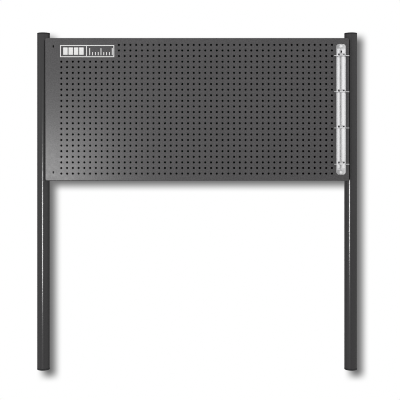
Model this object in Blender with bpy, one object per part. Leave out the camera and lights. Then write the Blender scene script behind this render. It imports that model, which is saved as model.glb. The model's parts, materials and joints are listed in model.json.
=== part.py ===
"""Perforated steel tool panel carried on two round posts, with a plated tool rail.

Metres, +Z up. The front faces -Y, +X is to the right seen from the front, and the
origin is on the floor in the middle of the space that the whole piece fills. Run it in
Blender 4.5.
"""

import math

import bmesh
import bpy
from mathutils import Matrix

# ---------------------------------------------------------------- sizes
GAP = 0.0003            # clearance left between pieces that touch

# posts
POST_OD = 0.056
POST_WALL = 0.002
POST_SPACING = 1.3524   # centre to centre
POST_LENGTH = 1.4674    # tube alone, between the cap and the foot plug
POST_SEGMENTS = 48

# plastic cap and foot plug of each post
CAP_RIM = 0.0040        # straight part of the flange
CAP_DOME = 0.0030       # rise of the rounded top above it
FOOT_RIM = 0.0070
PLUG_DEPTH = 0.025
PLUG_WALL = 0.0025
PLUG_CLEARANCE = 0.0003

# panel, a tray folded from sheet
PANEL_EDGE_IN = 0.0162  # from each post's axis to the panel's side edge
PANEL_H = 0.620
PANEL_T = 0.0015
PANEL_DEPTH = 0.025
PANEL_TOP_DROP = 0.0303 # from the posts' tops down to the panel's top edge
PANEL_CORNER_R = 0.008
PANEL_FOLD_R = 0.003
END_LIP = 0.016

# slots for the panel's own fixings, one near each corner
SLOT_W = 0.0066
SLOT_H = 0.0110
SLOT_SIDE = 0.0355      # slot's centre from the panel's side edge
SLOT_END = 0.0365       # and from its top or bottom edge

# lugs welded to the posts, and their bolts
LUG_T = 0.004
LUG_W = 0.042
LUG_H = 0.060
LUG_END = 0.090         # lug's centre from the panel's top or bottom edge
LUG_CORNER_R = 0.006
LUG_BOLT_OUT = 0.007    # bolt's axis from the post's surface, sideways
M8_R = 0.0040
M8_HOLE_R = 0.0045
M8_FLATS = 0.013
M8_HEAD_H = 0.0053
M8_NUT_H = 0.0065
M8_PROUD = 0.0025       # thread standing out past the nut
M6_R = 0.0030
M6_HOLE_R = 0.0033
M6_FLATS = 0.010
M6_NUT_H = 0.005

# stiffeners behind the face
STIFF_X = 0.220
STIFF_W = 0.060
STIFF_CROWN = 0.028
STIFF_DEPTH = 0.015
STIFF_T = 0.0012
STIFF_END_GAP = 0.008

# sheet that closes the tray's back, between the lugs
COVER_T = 0.001
COVER_CLEAR = 0.0024    # from the cover's side edge to the lugs
COVER_SIDE_LAP = 0.005  # how far it lies on the lips
COVER_END_LAP = 0.012
COVER_CORNER_R = 0.006
COVER_SCREW_IN = 0.006  # screw's axis from the cover's top or bottom edge
COVER_SCREW_SIDE = 0.117  # outer screws' axes from the cover's side edges

# printed label
LABEL_W = 0.2350
LABEL_H = 0.0525
LABEL_T = 0.0004
LABEL_SIDE = 0.0653     # label's edge from the panel's left edge
LABEL_DROP = 0.0570     # label's centre below the panel's top edge

# tool rail
RAIL_W = 0.040
RAIL_END = 0.0095       # rail's end past the screw that holds it
RAIL_T = 0.0015
RAIL_EDGE = 0.0038      # flat edge strip on each side of the raised middle
RAIL_RISE = 0.007
RAIL_FLANK = 0.0024
RAIL_END_FLAT = 0.020   # flat tab at each end
RAIL_RAMP = 0.006
RAIL_CORNER_W = 0.009
RAIL_CORNER_H = 0.012
RAIL_SLOT_W = 0.0065    # upright slot between the top screw and the first shelf
RAIL_SLOT_H = 0.0110
RAIL_SLOT_DROP = 0.0240 # its centre below the top screw

# shelves on the rail
SHELF_FIRST = 0.0416    # first shelf below the rail's top screw
SHELF_LAST = 0.0374     # last shelf above the rail's bottom screw
SHELF_COUNT = 4
SHELF_W = 0.066
SHELF_T = 0.0025
SHELF_WING = 0.014
SHELF_LOBE_R = 0.015
SHELF_REACH = 0.038
SHELF_HOLE_R = 0.007
FLANGE_W = 0.030
FLANGE_H = 0.011
FLANGE_T = 0.002

# small screws
M4_R = 0.0020
M4_HOLE_R = 0.0023
M4_HEAD_R = 0.0034
M4_HEAD_H = 0.0022
M4_TAIL = 0.0030        # thread standing out behind the rail's face
M4_X = 0.0107
M4_Z = 0.0055           # above the shelf's top face
RAIL_SCREW_HEAD_R = 0.0065
RAIL_SCREW_HEAD_H = 0.0033
RAIL_SCREW_SOCKET_R = 0.0022
RAIL_SCREW_LENGTH = 0.012

# threaded inserts in the back of the posts
INSERT_R = 0.0055
INSERT_BORE_R = 0.0034
INSERT_FLANGE_R = 0.0075
INSERT_FLANGE_T = 0.0015
INSERT_DEPTH = 0.012
INSERT_ZS = (0.520, 0.740)

# ---------------------------------------------------------------- places that follow
POST_R = POST_OD / 2
BORE_R = POST_R - POST_WALL
POST_Z0 = FOOT_RIM + GAP
POST_Z1 = POST_Z0 + POST_LENGTH
TOP_Z = POST_Z1 + GAP + CAP_RIM + CAP_DOME
PANEL_W = POST_SPACING - 2 * PANEL_EDGE_IN
PANEL_Z1 = TOP_Z - PANEL_TOP_DROP
PANEL_Z0 = PANEL_Z1 - PANEL_H
PANEL_ZC = (PANEL_Z0 + PANEL_Z1) / 2
LUG_FRONT = -(POST_R + GAP)
LUG_BACK = LUG_FRONT + LUG_T
LUG_NEAR = math.sqrt((POST_R + GAP) ** 2 - LUG_BACK ** 2) + GAP
LUG_Z = PANEL_H / 2 - LUG_END
PANEL_BACK = LUG_FRONT - GAP
PANEL_FRONT = PANEL_BACK - PANEL_DEPTH
SHEET_BACK = PANEL_FRONT + PANEL_T
COVER_W = POST_SPACING - 2 * (LUG_NEAR + LUG_W + COVER_CLEAR)
COVER_SCREW_XS = (COVER_SCREW_SIDE - COVER_W / 2, 0.0, COVER_W / 2 - COVER_SCREW_SIDE)
SIDE_LIP = PANEL_W / 2 - COVER_W / 2 + COVER_SIDE_LAP
COVER_H = PANEL_H - 2 * (END_LIP - COVER_END_LAP)
COVER_SCREW_Z = COVER_H / 2 - COVER_SCREW_IN
SLOT_X = PANEL_W / 2 - SLOT_SIDE
SLOT_Z = PANEL_H / 2 - SLOT_END
LABEL_X = LABEL_SIDE + LABEL_W / 2 - PANEL_W / 2
RAIL_X = SLOT_X
RAIL_L = 2 * (SLOT_Z + RAIL_END)
RAIL_BACK = PANEL_FRONT - GAP
RAIL_FACE = RAIL_BACK - RAIL_T - RAIL_RISE
SHELF_BACK = RAIL_FACE - GAP
SHELF_TOP_Z = SLOT_Z - SHELF_FIRST
SHELF_PITCH = (2 * SLOT_Z - SHELF_FIRST - SHELF_LAST) / (SHELF_COUNT - 1)
POSTS_Y = (SHELF_REACH - SHELF_BACK - POST_R - GAP - INSERT_FLANGE_T) / 2


# ---------------------------------------------------------------- scene and materials
def clear_scene():
    for obj in list(bpy.data.objects):
        bpy.data.objects.remove(obj, do_unlink=True)


def make_frame():
    """The empty that every piece hangs on, on the line between the posts' feet."""
    empty = bpy.data.objects.new("stand", None)
    bpy.context.scene.collection.objects.link(empty)
    empty.location = (0, POSTS_Y, 0)
    return empty


def material(name, rgb, roughness, metallic):
    mat = bpy.data.materials.new(name)
    mat.use_nodes = True
    bsdf = mat.node_tree.nodes["Principled BSDF"]
    bsdf.inputs["Base Color"].default_value = (*rgb, 1.0)
    bsdf.inputs["Roughness"].default_value = roughness
    bsdf.inputs["Metallic"].default_value = metallic
    mat.diffuse_color = (*rgb, 1.0)
    return mat


# ---------------------------------------------------------------- shapes
def to_object(name, bm, mat, at=(0, 0, 0)):
    bmesh.ops.recalc_face_normals(bm, faces=bm.faces)
    mesh = bpy.data.meshes.new(name)
    bm.to_mesh(mesh)
    bm.free()
    mesh.shade_smooth()
    mesh.set_sharp_from_angle(angle=math.radians(30))
    obj = bpy.data.objects.new(name, mesh)
    bpy.context.scene.collection.objects.link(obj)
    if mat is not None:
        mesh.materials.append(mat)
    obj.parent = FRAME
    obj.location = at
    return obj


def loft(bm, rings, close_ends=True):
    """Joins rings of equal count, each a list of points, into one tube of quads."""
    loops = [[bm.verts.new(p) for p in ring] for ring in rings]
    n = len(loops[0])
    for a, b in zip(loops, loops[1:]):
        for i in range(n):
            j = (i + 1) % n
            bm.faces.new((a[i], a[j], b[j], b[i]))
    if close_ends:
        bm.faces.new(list(reversed(loops[0])))
        bm.faces.new(loops[-1])
    return loops


def circle(r, n, z, cx=0.0, cy=0.0, turn=0.0):
    step = 2 * math.pi / n
    return [(cx + r * math.cos(turn + i * step), cy + r * math.sin(turn + i * step), z)
            for i in range(n)]


def turned(bm, profile, n=32, closed=False):
    """Turns (radius, height) pairs about Z. closed joins the last ring to the first."""
    rings = [circle(r, n, z) for r, z in profile]
    loops = loft(bm, rings, close_ends=not closed)
    if closed:
        a, b = loops[-1], loops[0]
        for i in range(n):
            j = (i + 1) % n
            bm.faces.new((a[i], a[j], b[j], b[i]))


def prism(bm, outline, z0, z1):
    """Extrudes a flat outline of (x, y) pairs from z0 to z1."""
    loft(bm, [[(x, y, z0) for x, y in outline], [(x, y, z1) for x, y in outline]])


def block(bm, lo, hi):
    prism(bm, [(lo[0], lo[1]), (hi[0], lo[1]), (hi[0], hi[1]), (lo[0], hi[1])], lo[2], hi[2])


def rounded_rectangle(w, h, r, steps=6):
    points = []
    corners = ((w / 2 - r, h / 2 - r), (r - w / 2, h / 2 - r),
               (r - w / 2, r - h / 2), (w / 2 - r, r - h / 2))
    for k, (cx, cy) in enumerate(corners):
        for i in range(steps + 1):
            a = math.pi / 2 * (k + i / steps)
            points.append((cx + r * math.cos(a), cy + r * math.sin(a)))
    return points


def hexagon(flats):
    r = flats / math.sqrt(3)
    return [(r * math.cos(math.pi / 3 * i), r * math.sin(math.pi / 3 * i)) for i in range(6)]


def stand_forward(bm):
    """Turns a shape built along +Z so that its height runs towards -Y, the front."""
    bmesh.ops.transform(bm, matrix=Matrix.Rotation(math.radians(90), 4, "X"), verts=bm.verts)


def boolean(target, other, operation="DIFFERENCE"):
    """A live Boolean; the other object stays in the file as a wire that never renders."""
    other.hide_render = True
    other.display_type = "WIRE"
    mod = target.modifiers.new(operation.title(), "BOOLEAN")
    mod.operation = operation
    mod.solver = "EXACT"
    mod.object = other
    return mod


def rod_cutter(name, r, length, at, n=24):
    """A round cutter along Y, centred on at."""
    bm = bmesh.new()
    turned(bm, [(r, -length / 2), (r, length / 2)], n)
    stand_forward(bm)
    return to_object(name, bm, None, at)


def slot_cutter(name, width, height, length, at):
    """An upright slot with round ends, cut along Y and centred on at."""
    half = (height - width) / 2
    arc = [math.pi * i / 8 for i in range(9)]
    outline = [(width / 2 * math.cos(a), half + width / 2 * math.sin(a)) for a in arc]
    outline += [(-x, -y) for x, y in outline]
    bm = bmesh.new()
    prism(bm, outline, -length / 2, length / 2)
    stand_forward(bm)
    return to_object(name, bm, None, at)


# ---------------------------------------------------------------- posts
def make_post(side, x, mat):
    bm = bmesh.new()
    turned(bm, [(POST_R, 0), (POST_R, POST_LENGTH), (BORE_R, POST_LENGTH), (BORE_R, 0)],
           POST_SEGMENTS, closed=True)
    post = to_object(side + "_post", bm, mat, (x, 0, POST_Z0))
    for k, z in enumerate(INSERT_ZS):
        boolean(post, rod_cutter(f"{side}_insert_cut_{k}", INSERT_R + GAP, 0.020,
                                 (x, POST_R, z)))
    return post


def make_cap(side, x, mat):
    """Domed flange on top and a hollow plug below, which sits in the tube."""
    plug_r = BORE_R - PLUG_CLEARANCE
    dome = [(POST_R * math.cos(a), CAP_RIM + CAP_DOME * math.sin(a))
            for a in (math.radians(d) for d in (0, 20, 40, 60, 75))]
    profile = [(plug_r - PLUG_WALL, 0.0), (plug_r - PLUG_WALL, -PLUG_DEPTH),
               (plug_r, -PLUG_DEPTH), (plug_r, 0.0), (POST_R, 0.0)] + dome
    bm = bmesh.new()
    turned(bm, profile, POST_SEGMENTS)
    return to_object(side + "_post_cap", bm, mat, (x, 0, POST_Z1 + GAP))


def make_foot(side, x, mat):
    plug_r = BORE_R - PLUG_CLEARANCE
    edge = 0.0010
    profile = [(plug_r - PLUG_WALL, FOOT_RIM), (plug_r - PLUG_WALL, FOOT_RIM + PLUG_DEPTH),
               (plug_r, FOOT_RIM + PLUG_DEPTH), (plug_r, FOOT_RIM), (POST_R, FOOT_RIM),
               (POST_R, edge), (POST_R - edge, 0.0)]
    bm = bmesh.new()
    turned(bm, profile, POST_SEGMENTS)
    return to_object(side + "_foot_plug", bm, mat, (x, 0, 0))


def make_insert(name, x, z, mat):
    """A flanged threaded insert in the back of a post."""
    bm = bmesh.new()
    turned(bm, [(INSERT_BORE_R, -INSERT_DEPTH), (INSERT_R, -INSERT_DEPTH), (INSERT_R, 0),
                (INSERT_FLANGE_R, 0), (INSERT_FLANGE_R, INSERT_FLANGE_T),
                (INSERT_BORE_R, INSERT_FLANGE_T)], 24, closed=True)
    bmesh.ops.rotate(bm, cent=(0, 0, 0), matrix=Matrix.Rotation(math.radians(-90), 3, "X"),
                     verts=bm.verts)
    return to_object(name, bm, mat, (x, POST_R + GAP, z))


# ---------------------------------------------------------------- lugs
def lug_span(sign):
    """X of the lug's two edges and of its bolt, going from the post towards the middle."""
    post_x = sign * POST_SPACING / 2
    near = post_x - sign * LUG_NEAR
    return near, near - sign * LUG_W, post_x - sign * (POST_R + LUG_BOLT_OUT)


def make_lug(name, sign, zc, mat):
    near, far, bolt_x = lug_span(sign)
    r = LUG_CORNER_R
    outline = [(near, -LUG_H / 2)]
    for k, cz in ((0, r - LUG_H / 2), (1, LUG_H / 2 - r)):
        for i in range(7):
            a = math.pi / 2 * (i / 6 - 1 + k)
            outline.append((far + sign * r - sign * r * math.cos(a), cz + r * math.sin(a)))
    outline.append((near, LUG_H / 2))
    bm = bmesh.new()
    loft(bm, [[(x, LUG_FRONT, z) for x, z in outline], [(x, LUG_BACK, z) for x, z in outline]])
    lug = to_object(name, bm, mat, (0, 0, zc))
    boolean(lug, rod_cutter(name + "_cut", M8_HOLE_R, 0.02, (bolt_x, LUG_FRONT, zc)))
    return lug


def make_lug_bolt(name, sign, zc, mat):
    seat = PANEL_BACK - PANEL_T - GAP
    length = LUG_BACK + GAP + M8_NUT_H + M8_PROUD - seat
    bm = bmesh.new()
    prism(bm, hexagon(M8_FLATS), 0, M8_HEAD_H)
    add_shank(bm, M8_R, length)
    stand_forward(bm)
    return to_object(name, bm, mat, (lug_span(sign)[2], seat, zc))


def add_shank(head, r, length):
    """Fuses a shank below a head that stands on z = 0, by bridging the head's underside."""
    under = [f for f in head.faces if all(abs(v.co.z) < 1e-9 for v in f.verts)][0]
    outer = list(under.verts)
    head.faces.remove(under)
    ring = [head.verts.new(p) for p in circle(r, 24, 0)]
    tip = [head.verts.new(p) for p in circle(r, 24, -length)]
    for i in range(24):
        j = (i + 1) % 24
        head.faces.new((ring[i], ring[j], tip[j], tip[i]))
    head.faces.new(tip)
    fill_between(head, outer, ring)


def fill_between(bm, outer, inner):
    """Fills the flat face between two loops about the Z axis with triangles."""
    def angle(v):
        return math.atan2(v.co.y, v.co.x) % (2 * math.pi)
    a = sorted(outer, key=angle)
    b = sorted(inner, key=angle)
    i = j = 0
    while i < len(a) or j < len(b):
        ai, bj = a[i % len(a)], b[j % len(b)]
        next_a = angle(a[(i + 1) % len(a)]) + 2 * math.pi * ((i + 1) // len(a))
        next_b = angle(b[(j + 1) % len(b)]) + 2 * math.pi * ((j + 1) // len(b))
        if j >= len(b) or (i < len(a) and next_a <= next_b):
            bm.faces.new((ai, a[(i + 1) % len(a)], bj))
            i += 1
        else:
            bm.faces.new((ai, b[(j + 1) % len(b)], bj))
            j += 1


def make_lug_nut(name, sign, zc, mat):
    bm = nut_body(M8_FLATS, M8_R + GAP, M8_NUT_H)
    y = LUG_BACK + GAP + M8_NUT_H
    return to_object(name, bm, mat, (lug_span(sign)[2], y, zc))


def nut_body(flats, bore_r, height):
    """A hex nut whose height runs from y = 0 towards -Y."""
    part = bmesh.new()
    corners = hexagon(flats)
    low = [part.verts.new((x, y, 0)) for x, y in corners]
    high = [part.verts.new((x, y, height)) for x, y in corners]
    low_b = [part.verts.new(p) for p in circle(bore_r, 24, 0)]
    high_b = [part.verts.new(p) for p in circle(bore_r, 24, height)]
    for ring_a, ring_b in ((low, high), (low_b, high_b)):
        n = len(ring_a)
        for i in range(n):
            j = (i + 1) % n
            part.faces.new((ring_a[i], ring_a[j], ring_b[j], ring_b[i]))
    fill_between(part, low, low_b)
    fill_between(part, high, high_b)
    stand_forward(part)
    return part


# ---------------------------------------------------------------- panel
def tray_ring(w, h, r, y):
    return [(x, y, z) for x, z in rounded_rectangle(w, h, r)]


def make_panel(mat):
    """Face, four returns and a lip all round the back, as one folded body."""
    w, h, t, fold = PANEL_W, PANEL_H, PANEL_T, PANEL_FOLD_R
    rings = []
    for i in range(5):
        a = math.pi / 2 * i / 4
        inset = fold * (1 - math.sin(a))
        rings.append(tray_ring(w - 2 * inset, h - 2 * inset, PANEL_CORNER_R - inset,
                               PANEL_FRONT + fold * (1 - math.cos(a))))
    rings.append(tray_ring(w, h, PANEL_CORNER_R, PANEL_BACK))
    mouth_w, mouth_h = w - 2 * SIDE_LIP, h - 2 * END_LIP
    inner_r = PANEL_CORNER_R - t
    rings.append(tray_ring(mouth_w, mouth_h, inner_r, PANEL_BACK))
    rings.append(tray_ring(mouth_w, mouth_h, inner_r, PANEL_BACK - t))
    rings.append(tray_ring(w - 2 * t, h - 2 * t, inner_r, PANEL_BACK - t))
    inside = fold - t
    for i in range(3):
        a = math.pi / 2 * (1 - i / 2)
        inset = inside * (1 - math.sin(a))
        rings.append(tray_ring(w - 2 * t - 2 * inset, h - 2 * t - 2 * inset, inner_r - inset,
                               SHEET_BACK + inside * (1 - math.cos(a))))
    bm = bmesh.new()
    loft(bm, rings)
    panel = to_object("perforated_panel", bm, mat, (0, 0, PANEL_ZC))
    for sx in (-1, 1):
        for sz in (-1, 1):
            boolean(panel, slot_cutter(f"slot_cut_{sx + 1}_{sz + 1}", SLOT_W, SLOT_H, 0.008,
                                       (sx * SLOT_X, PANEL_FRONT, PANEL_ZC + sz * SLOT_Z)))
            boolean(panel, rod_cutter(f"lip_cut_{sx + 1}_{sz + 1}", M8_HOLE_R, 0.006,
                                      (lug_span(sx)[2], PANEL_BACK, PANEL_ZC + sz * LUG_Z)))
    for k, sign in enumerate((1, -1)):
        for n, x in enumerate(COVER_SCREW_XS):
            boolean(panel, rod_cutter(f"lip_screw_cut_{k}_{n}", M4_HOLE_R, 0.006,
                                      (x, PANEL_BACK, PANEL_ZC + sign * COVER_SCREW_Z), 16))
    return panel


def make_cover(mat):
    """Flat sheet on the back of the tray's lips, which it overlaps all round."""
    bm = bmesh.new()
    prism(bm, rounded_rectangle(COVER_W, COVER_H, COVER_CORNER_R), 0, COVER_T)
    stand_forward(bm)
    cover = to_object("back_cover", bm, mat, (0, PANEL_BACK + GAP + COVER_T, PANEL_ZC))
    for k, sign in enumerate((1, -1)):
        for n, x in enumerate(COVER_SCREW_XS):
            boolean(cover, rod_cutter(f"cover_cut_{k}_{n}", M4_HOLE_R, 0.006,
                                      (x, PANEL_BACK, PANEL_ZC + sign * COVER_SCREW_Z), 16))
    return cover


def make_cover_screw(name, x, z, mat):
    """The shelves' kind of screw, turned round, through the cover into the lip."""
    bm = small_screw(COVER_T + 2 * GAP + PANEL_T + M4_TAIL)
    bmesh.ops.rotate(bm, cent=(0, 0, 0), matrix=Matrix.Rotation(math.radians(-90), 3, "X"),
                     verts=bm.verts)
    return to_object(name, bm, mat, (x, PANEL_BACK + 2 * GAP + COVER_T, z))


def make_stiffener(side, x, mat):
    """Hat section standing behind the panel's face."""
    f, c, t, d = STIFF_W / 2, STIFF_CROWN / 2, STIFF_T, STIFF_DEPTH
    lean = 0.003
    y0 = SHEET_BACK + GAP
    outer = [(-f, 0), (-c - lean, 0), (-c, d - t), (c, d - t), (c + lean, 0), (f, 0)]
    inner = [(f, t), (c + lean + t, t), (c + t, d), (-c - t, d), (-c - lean - t, t), (-f, t)]
    half = PANEL_H / 2 - PANEL_T - STIFF_END_GAP
    bm = bmesh.new()
    prism(bm, [(px, y0 + py) for px, py in outer + inner], -half, half)
    return to_object(side + "_stiffener", bm, mat, (x, 0, PANEL_ZC))


def make_label(mat):
    bm = bmesh.new()
    prism(bm, rounded_rectangle(LABEL_W, LABEL_H, 0.002, 3), GAP, GAP + LABEL_T)
    stand_forward(bm)
    return to_object("printed_label", bm, mat, (LABEL_X, PANEL_FRONT, PANEL_Z1 - LABEL_DROP))


# ---------------------------------------------------------------- tool rail
def rail_rows():
    """Heights along the rail, half width and rise at each, from one end to the other."""
    half = RAIL_L / 2
    steps = 6
    rows = []
    for i in range(steps + 1):
        d = RAIL_CORNER_H * (1 - math.cos(math.pi / 2 * i / steps))
        w = RAIL_W / 2 - RAIL_CORNER_W * (1 - math.sqrt(1 - (1 - d / RAIL_CORNER_H) ** 2))
        rows.append((d, w, 0.0))
    rows.append((RAIL_END_FLAT, RAIL_W / 2, 0.0))
    for i in range(1, 5):
        s = i / 4
        rows.append((RAIL_END_FLAT + RAIL_RAMP * s, RAIL_W / 2,
                     RAIL_RISE * (3 * s * s - 2 * s ** 3)))
    low = [(-half + d, w, rise) for d, w, rise in rows]
    high = [(half - d, w, rise) for d, w, rise in reversed(rows)]
    return low + high


def make_rail(mat):
    """Pressed strip: flat edges, a raised flat middle and flat rounded ends."""
    top = RAIL_W / 2 - RAIL_EDGE - RAIL_FLANK
    foot = RAIL_W / 2 - RAIL_EDGE
    across = [(-1, 0), (-foot, 0), (-(foot + top) / 2, 0.5), (-top, 1), (top, 1),
              ((foot + top) / 2, 0.5), (foot, 0), (1, 0)]
    rings = []
    for z, half_w, rise in rail_rows():
        scale = half_w / (RAIL_W / 2)
        front, back = [], []
        for x, up in across:
            px = half_w * x if abs(x) == 1 else x * scale
            front.append((px, RAIL_BACK - RAIL_T - rise * up, z))
            back.append((px, RAIL_BACK - rise * up, z))
        rings.append(front + back[::-1])
    bm = bmesh.new()
    loft(bm, rings)
    bmesh.ops.triangulate(bm, faces=bm.faces)
    rail = to_object("tool_rail", bm, mat, (RAIL_X, 0, PANEL_ZC))
    for k in (-1, 1):
        boolean(rail, rod_cutter(f"rail_end_cut_{k + 1}", M6_HOLE_R, 0.008,
                                 (RAIL_X, RAIL_BACK, PANEL_ZC + k * SLOT_Z)))
    boolean(rail, slot_cutter("rail_slot_cut", RAIL_SLOT_W, RAIL_SLOT_H, 0.006,
                              (RAIL_X, RAIL_FACE, PANEL_ZC + SLOT_Z - RAIL_SLOT_DROP)))
    for n in range(SHELF_COUNT):
        z = PANEL_ZC + SHELF_TOP_Z - n * SHELF_PITCH + M4_Z
        for k in (-1, 1):
            boolean(rail, rod_cutter(f"rail_cut_{n}_{k + 1}", M4_HOLE_R, 0.006,
                                     (RAIL_X + k * M4_X, RAIL_FACE, z), 16))
    return rail


def make_shelf(n, mat):
    """Flat shelf with two wings and a round front lobe, folded up into a screwed flange."""
    wing, r, reach, half = SHELF_WING, SHELF_LOBE_R, SHELF_REACH, SHELF_W / 2
    tip = 0.003
    outline = [(half, 0), (half, -wing + tip), (half - tip, -wing), (r + 0.004, -wing),
               (r + 0.001, -wing - 0.002)]
    for i in range(17):
        a = math.pi * i / 16
        outline.append((r * math.cos(a), -(reach - r) - r * math.sin(a)))
    outline += [(-r - 0.001, -wing - 0.002), (-r - 0.004, -wing), (-half + tip, -wing),
                (-half, -wing + tip), (-half, 0)]
    bm = bmesh.new()
    prism(bm, outline, -SHELF_T, 0)
    z = PANEL_ZC + SHELF_TOP_Z - n * SHELF_PITCH
    shelf = to_object(f"tool_shelf_{n + 1}", bm, mat, (RAIL_X, SHELF_BACK, z))
    flange = bmesh.new()
    block(flange, (-FLANGE_W / 2, -FLANGE_T, -SHELF_T / 2), (FLANGE_W / 2, 0, FLANGE_H))
    boolean(shelf, to_object(f"flange_{n + 1}", flange, None, (RAIL_X, SHELF_BACK, z)), "UNION")
    hole = bmesh.new()
    turned(hole, [(SHELF_HOLE_R, -0.01), (SHELF_HOLE_R, 0.01)], 24)
    boolean(shelf, to_object(f"shelf_hole_{n + 1}", hole, None,
                             (RAIL_X, SHELF_BACK - (reach - r), z)))
    for k in (-1, 1):
        boolean(shelf, rod_cutter(f"flange_cut_{n + 1}_{k + 1}", M4_HOLE_R, 0.01,
                                  (RAIL_X + k * M4_X, SHELF_BACK, z + M4_Z), 16))
    return shelf


def small_screw(length):
    """A domed head standing on z = 0 with a thread-forming shank below it."""
    bm = bmesh.new()
    turned(bm, [(M4_R * 0.6, -length), (M4_R, -length + 0.001), (M4_R, 0), (M4_HEAD_R, 0),
                (M4_HEAD_R, M4_HEAD_H * 0.4), (M4_HEAD_R * 0.8, M4_HEAD_H * 0.85),
                (M4_HEAD_R * 0.5, M4_HEAD_H)], 20)
    return bm


def make_shelf_screw(n, k, mat):
    """A thread-forming screw through the shelf's flange into the rail."""
    z = PANEL_ZC + SHELF_TOP_Z - n * SHELF_PITCH + M4_Z
    bm = small_screw(FLANGE_T + 2 * GAP + RAIL_T + M4_TAIL)
    stand_forward(bm)
    hand = "left" if k < 0 else "right"
    return to_object(f"shelf_{n + 1}_{hand}_screw", bm, mat,
                     (RAIL_X + k * M4_X, SHELF_BACK - FLANGE_T - GAP, z))


def make_rail_screw(end, sign, mat):
    seat = RAIL_BACK - RAIL_T - GAP
    r, h, s = RAIL_SCREW_HEAD_R, RAIL_SCREW_HEAD_H, RAIL_SCREW_SOCKET_R
    bm = bmesh.new()
    turned(bm, [(M6_R, -RAIL_SCREW_LENGTH), (M6_R, 0), (r, 0), (r, h * 0.3), (r * 0.88, h * 0.7),
                (r * 0.6, h), (s, h), (s, h * 0.45)], 32)
    stand_forward(bm)
    return to_object(f"rail_{end}_screw", bm, mat, (RAIL_X, seat, PANEL_ZC + sign * SLOT_Z))


def make_rail_nut(end, sign, mat):
    bm = nut_body(M6_FLATS, M6_R + GAP, M6_NUT_H)
    y = SHEET_BACK + GAP + M6_NUT_H
    return to_object(f"rail_{end}_nut", bm, mat, (RAIL_X, y, PANEL_ZC + sign * SLOT_Z))


# ---------------------------------------------------------------- build
clear_scene()
FRAME = make_frame()
post_paint = material("post_paint", (0.055, 0.053, 0.055), 0.28, 0.0)
panel_paint = material("panel_paint", (0.085, 0.081, 0.085), 0.45, 0.0)
black_plastic = material("black_plastic", (0.018, 0.018, 0.019), 0.5, 0.0)
plated = material("plated_steel", (0.82, 0.82, 0.83), 0.22, 1.0)
zinc = material("zinc_plate", (0.62, 0.63, 0.64), 0.35, 1.0)
dark_screw = material("dark_screw", (0.05, 0.05, 0.055), 0.4, 1.0)
label_ink = material("label_print", (0.10, 0.10, 0.10), 0.5, 0.0)

for side, sign in (("left", -1), ("right", 1)):
    x = sign * POST_SPACING / 2
    make_post(side, x, post_paint)
    make_cap(side, x, black_plastic)
    make_foot(side, x, black_plastic)
    for k, z in enumerate(INSERT_ZS):
        make_insert(f"{side}_bench_insert_{k + 1}", x, z, zinc)
    for level, up in (("upper", 1), ("lower", -1)):
        zc = PANEL_ZC + up * LUG_Z
        make_lug(f"{side}_{level}_lug", sign, zc, post_paint)
        make_lug_bolt(f"{side}_{level}_lug_bolt", sign, zc, zinc)
        make_lug_nut(f"{side}_{level}_lug_nut", sign, zc, zinc)
    make_stiffener(side, sign * STIFF_X, panel_paint)

make_panel(panel_paint)
make_cover(panel_paint)
for level, sign in (("top", 1), ("bottom", -1)):
    for n, x in enumerate(COVER_SCREW_XS):
        make_cover_screw(f"cover_{level}_screw_{n + 1}", x, PANEL_ZC + sign * COVER_SCREW_Z, zinc)
make_label(label_ink)
make_rail(plated)
for n in range(SHELF_COUNT):
    make_shelf(n, plated)
    for k in (-1, 1):
        make_shelf_screw(n, k, dark_screw)
for end, sign in (("top", 1), ("bottom", -1)):
    make_rail_screw(end, sign, plated)
    make_rail_nut(end, sign, zinc)
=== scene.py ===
# %% [markdown]
# # A perforated tool panel between two posts
#
# The real piece is bent, punched and welded steel: a folded tray with a grid of small round holes, bolted in
# front of two round tubes, with a plated rail of little shelves screwed to one side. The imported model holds
# every piece at its size and place. This lesson gives them their fine surfaces: bends, holes and paint.

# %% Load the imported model
import json
import math

import bpy
import numpy as np

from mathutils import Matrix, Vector

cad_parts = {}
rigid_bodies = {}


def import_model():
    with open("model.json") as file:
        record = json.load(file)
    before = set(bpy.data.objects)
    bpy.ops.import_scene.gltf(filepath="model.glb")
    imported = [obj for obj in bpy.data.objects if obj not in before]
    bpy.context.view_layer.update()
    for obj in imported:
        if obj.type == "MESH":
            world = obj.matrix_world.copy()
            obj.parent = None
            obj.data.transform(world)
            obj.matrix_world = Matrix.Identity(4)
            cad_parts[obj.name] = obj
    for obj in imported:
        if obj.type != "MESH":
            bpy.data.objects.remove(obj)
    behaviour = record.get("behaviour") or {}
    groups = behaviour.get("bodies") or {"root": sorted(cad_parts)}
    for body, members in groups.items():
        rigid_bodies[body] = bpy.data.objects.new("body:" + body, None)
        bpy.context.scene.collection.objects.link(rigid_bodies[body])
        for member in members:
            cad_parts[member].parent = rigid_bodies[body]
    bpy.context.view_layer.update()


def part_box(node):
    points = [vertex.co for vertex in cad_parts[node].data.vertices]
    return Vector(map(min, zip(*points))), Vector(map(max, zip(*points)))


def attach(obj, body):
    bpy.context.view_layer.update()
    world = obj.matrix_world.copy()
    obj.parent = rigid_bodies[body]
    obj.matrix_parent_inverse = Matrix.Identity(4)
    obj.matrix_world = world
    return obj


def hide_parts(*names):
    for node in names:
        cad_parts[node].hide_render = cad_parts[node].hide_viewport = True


for leftover in list(bpy.data.objects):
    bpy.data.objects.remove(leftover)
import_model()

# %% [markdown]
# ## Places come from the model
#
# A node's box says where a piece is, so nothing is typed twice.

# %% Boxes of the pieces
def box(node):
    """Lowest corner, highest corner and middle of a node's box."""
    low, high = (np.array(corner, float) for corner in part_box(node))
    return low, high, (low + high) / 2


def middle(node):
    return box(node)[2]


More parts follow.
